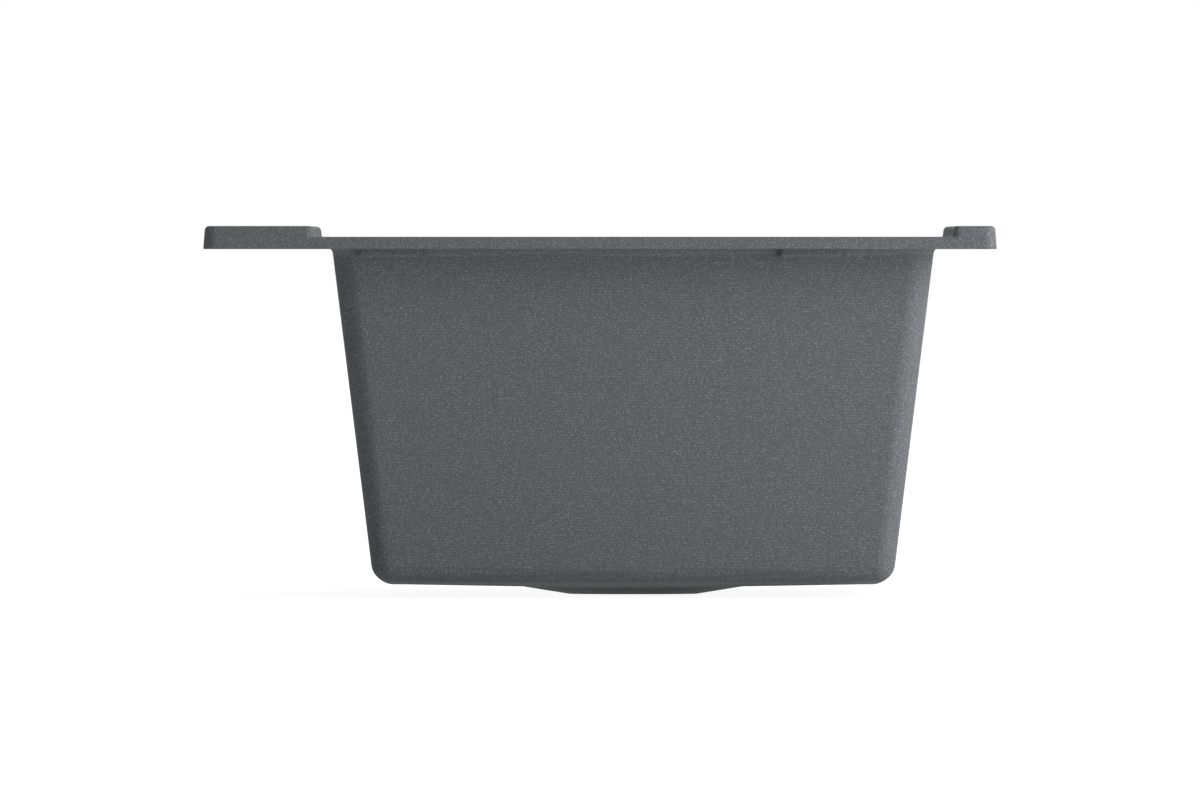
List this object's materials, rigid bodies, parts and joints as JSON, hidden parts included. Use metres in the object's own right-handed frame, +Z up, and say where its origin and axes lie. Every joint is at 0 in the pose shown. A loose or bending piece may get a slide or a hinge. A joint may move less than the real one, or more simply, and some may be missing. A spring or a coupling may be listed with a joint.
{
  "type": "workstation kitchen sink",
  "caption": "Drop-in composite kitchen sink with a raised tap deck, a two-tier bowl, and a sliding cutting board, colander, bottom grid and drain cap.",
  "frame": {"origin": "under the centre of the rim's outline, on the plane that the sump's underside stands on", "axes": "+X along the sink's length, +Y from the front rail to the tap deck, +Z up"},
  "size_m": [0.8382, 0.5588, 0.2626],
  "materials": {
    "composite": "matt grey quartz composite with a fine light fleck",
    "steel_wire": "electropolished stainless steel wire",
    "steel_sheet": "brushed stainless steel sheet",
    "steel_turned": "turned stainless steel",
    "silicone": "matt dark grey silicone",
    "wood": "oiled sapele",
    "dowel_wood": "plain beech"
  },
  "bodies": {
    "sink": {"basin": "composite"},
    "bottom_grid": {"grid_frame": "steel_wire", "grid_cross_wires": "steel_wire", "grid_long_wires": "steel_wire", "grid_drain_ring": "steel_wire", "grid_legs": "steel_wire", "grid_feet": "silicone", "grid_bumpers": "silicone"},
    "drain_cap": {"cap_plate": "steel_sheet", "cap_seal": "silicone", "cap_knob": "steel_turned", "cap_screw": "steel_turned"},
    "cutting_board": {"board_panel": "wood", "board_end_battens": "wood", "board_dowels": "dowel_wood", "board_runners": "silicone"},
    "colander": {"colander_tray": "steel_sheet", "colander_screen": "steel_sheet", "colander_grips": "steel_wire", "colander_runners": "silicone", "colander_feet": "silicone"}
  },
  "joints": [
    {"name": "board_slide", "type": "slide", "parent": "sink", "child": "cutting_board", "axis": [1, 0, 0], "range_m": [0, 0.128]},
    {"name": "colander_slide", "type": "slide", "parent": "sink", "child": "colander", "axis": [1, 0, 0], "range_m": [-0.128, 0]},
    {"name": "grid_lift", "type": "slide", "parent": "sink", "child": "bottom_grid", "axis": [0, 0, 1], "range_m": [0, 0.085]},
    {"name": "cap_lift", "type": "slide", "parent": "sink", "child": "drain_cap", "axis": [0, 0, 1], "range_m": [0, 0.2]}
  ]
}
